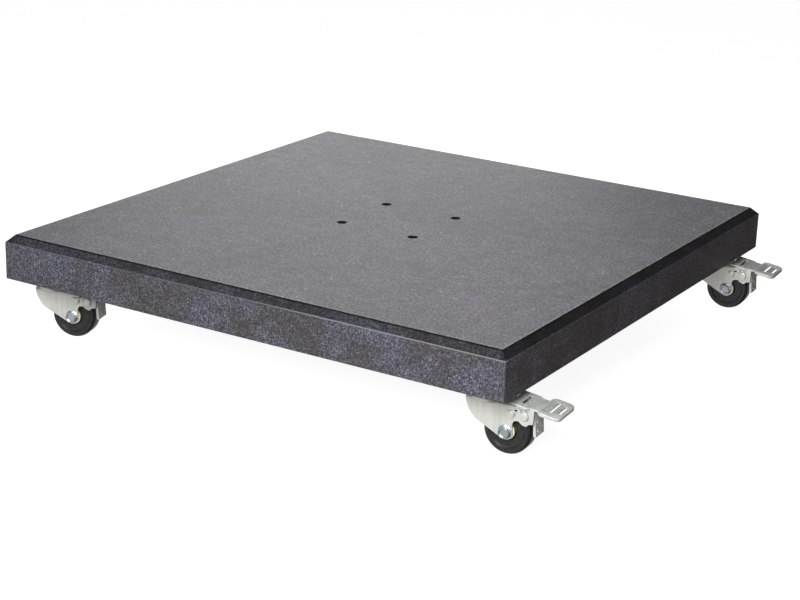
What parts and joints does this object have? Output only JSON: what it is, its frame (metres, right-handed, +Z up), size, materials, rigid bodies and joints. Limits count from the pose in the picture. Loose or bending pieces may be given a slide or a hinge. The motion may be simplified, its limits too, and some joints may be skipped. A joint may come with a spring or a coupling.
{
  "type": "parasol base",
  "caption": "Square granite weight slab with chamfered top edges, on swivel castors with brake pedals, drilled through near its centre to bolt on a parasol foot.",
  "frame": {"origin": "centre of the slab's flat top face", "axes": "+Z up out of the top face, +X to the right along the front edge, +Y from the front edge to the back"},
  "size_m": [0.8042, 0.75, 0.14],
  "materials": {
    "granite": "dark grey granite, honed top, chamfered edges, fine pale speckle",
    "zinc_plate": "pressed steel sheet, pale zinc plated",
    "pedal_zinc": "pressed steel sheet, satin grey zinc plated, ribbed tread",
    "bright_zinc": "bright bluish zinc plated fasteners",
    "black_wheel": "black moulded plastic, satin",
    "ivory_bush": "ivory nylon"
  },
  "bodies": {
    "slab": {"slab": "granite", "front_left_top_plate": "zinc_plate", "front_left_king_pin": "bright_zinc", "front_left_lower_race": "zinc_plate", "front_right_top_plate": "zinc_plate", "front_right_king_pin": "bright_zinc", "front_right_lower_race": "zinc_plate", "rear_right_top_plate": "zinc_plate", "rear_right_king_pin": "bright_zinc", "rear_right_lower_race": "zinc_plate", "rear_left_top_plate": "zinc_plate", "rear_left_king_pin": "bright_zinc", "rear_left_lower_race": "zinc_plate"},
    "front_left_fork": {"front_left_ball_ring": "bright_zinc", "front_left_fork": "zinc_plate", "front_left_axle_bolt": "bright_zinc", "front_left_axle_nut": "bright_zinc", "front_left_brake_pin": "zinc_plate", "front_left_brake_spring": "bright_zinc"},
    "front_left_wheel": {"front_left_wheel": "black_wheel", "front_left_hub_bush_near": "ivory_bush", "front_left_hub_bush_far": "ivory_bush"},
    "front_left_pedal": {"front_left_brake_pedal": "pedal_zinc", "front_left_brake_shoe": "pedal_zinc"},
    "front_right_fork": {"front_right_ball_ring": "bright_zinc", "front_right_fork": "zinc_plate", "front_right_axle_bolt": "bright_zinc", "front_right_axle_nut": "bright_zinc", "front_right_brake_pin": "zinc_plate", "front_right_brake_spring": "bright_zinc"},
    "front_right_wheel": {"front_right_wheel": "black_wheel", "front_right_hub_bush_near": "ivory_bush", "front_right_hub_bush_far": "ivory_bush"},
    "front_right_pedal": {"front_right_brake_pedal": "pedal_zinc", "front_right_brake_shoe": "pedal_zinc"},
    "rear_right_fork": {"rear_right_ball_ring": "bright_zinc", "rear_right_fork": "zinc_plate", "rear_right_axle_bolt": "bright_zinc", "rear_right_axle_nut": "bright_zinc", "rear_right_brake_pin": "zinc_plate", "rear_right_brake_spring": "bright_zinc"},
    "rear_right_wheel": {"rear_right_wheel": "black_wheel", "rear_right_hub_bush_near": "ivory_bush", "rear_right_hub_bush_far": "ivory_bush"},
    "rear_right_pedal": {"rear_right_brake_pedal": "pedal_zinc", "rear_right_brake_shoe": "pedal_zinc"},
    "rear_left_fork": {"rear_left_ball_ring": "bright_zinc", "rear_left_fork": "zinc_plate", "rear_left_axle_bolt": "bright_zinc", "rear_left_axle_nut": "bright_zinc", "rear_left_brake_pin": "zinc_plate", "rear_left_brake_spring": "bright_zinc"},
    "rear_left_wheel": {"rear_left_wheel": "black_wheel", "rear_left_hub_bush_near": "ivory_bush", "rear_left_hub_bush_far": "ivory_bush"},
    "rear_left_pedal": {"rear_left_brake_pedal": "pedal_zinc", "rear_left_brake_shoe": "pedal_zinc"}
  },
  "joints": [
    {"name": "front_left_swivel", "type": "hinge", "parent": "slab", "child": "front_left_fork", "pos_m": [-0.331, -0.325, -0.075], "axis": [0, 0, 1], "continuous": true},
    {"name": "front_left_roll", "type": "hinge", "parent": "front_left_fork", "child": "front_left_wheel", "pos_m": [-0.30505, -0.31756, -0.11], "axis": [-0.2756, 0.9613, 0], "continuous": true},
    {"name": "front_left_brake", "type": "hinge", "parent": "front_left_fork", "child": "front_left_pedal", "pos_m": [-0.28198, -0.31094, -0.086], "axis": [-0.2756, 0.9613, 0], "range_deg": [0, 10.5]},
    {"name": "front_right_swivel", "type": "hinge", "parent": "slab", "child": "front_right_fork", "pos_m": [0.331, -0.325, -0.075], "axis": [0, 0, 1], "continuous": true},
    {"name": "front_right_roll", "type": "hinge", "parent": "front_right_fork", "child": "front_right_wheel", "pos_m": [0.35793, -0.32312, -0.11], "axis": [-0.0698, 0.9976, 0], "continuous": true},
    {"name": "front_right_brake", "type": "hinge", "parent": "front_right_fork", "child": "front_right_pedal", "pos_m": [0.38188, -0.32144, -0.086], "axis": [-0.0698, 0.9976, 0], "range_deg": [0, 10.5]},
    {"name": "rear_right_swivel", "type": "hinge", "parent": "slab", "child": "rear_right_fork", "pos_m": [0.331, 0.325, -0.075], "axis": [0, 0, 1], "continuous": true},
    {"name": "rear_right_roll", "type": "hinge", "parent": "rear_right_fork", "child": "rear_right_wheel", "pos_m": [0.35793, 0.32688, -0.11], "axis": [-0.0698, 0.9976, 0], "continuous": true},
    {"name": "rear_right_brake", "type": "hinge", "parent": "rear_right_fork", "child": "rear_right_pedal", "pos_m": [0.38188, 0.32856, -0.086], "axis": [-0.0698, 0.9976, 0], "range_deg": [0, 10.5]},
    {"name": "rear_left_swivel", "type": "hinge", "parent": "slab", "child": "rear_left_fork", "pos_m": [-0.331, 0.325, -0.075], "axis": [0, 0, 1], "continuous": true},
    {"name": "rear_left_roll", "type": "hinge", "parent": "rear_left_fork", "child": "rear_left_wheel", "pos_m": [-0.30459, 0.33061, -0.11], "axis": [-0.2079, 0.9781, 0], "continuous": true},
    {"name": "rear_left_brake", "type": "hinge", "parent": "rear_left_fork", "child": "rear_left_pedal", "pos_m": [-0.28111, 0.3356, -0.086], "axis": [-0.2079, 0.9781, 0], "range_deg": [0, 10.5]}
  ]
}
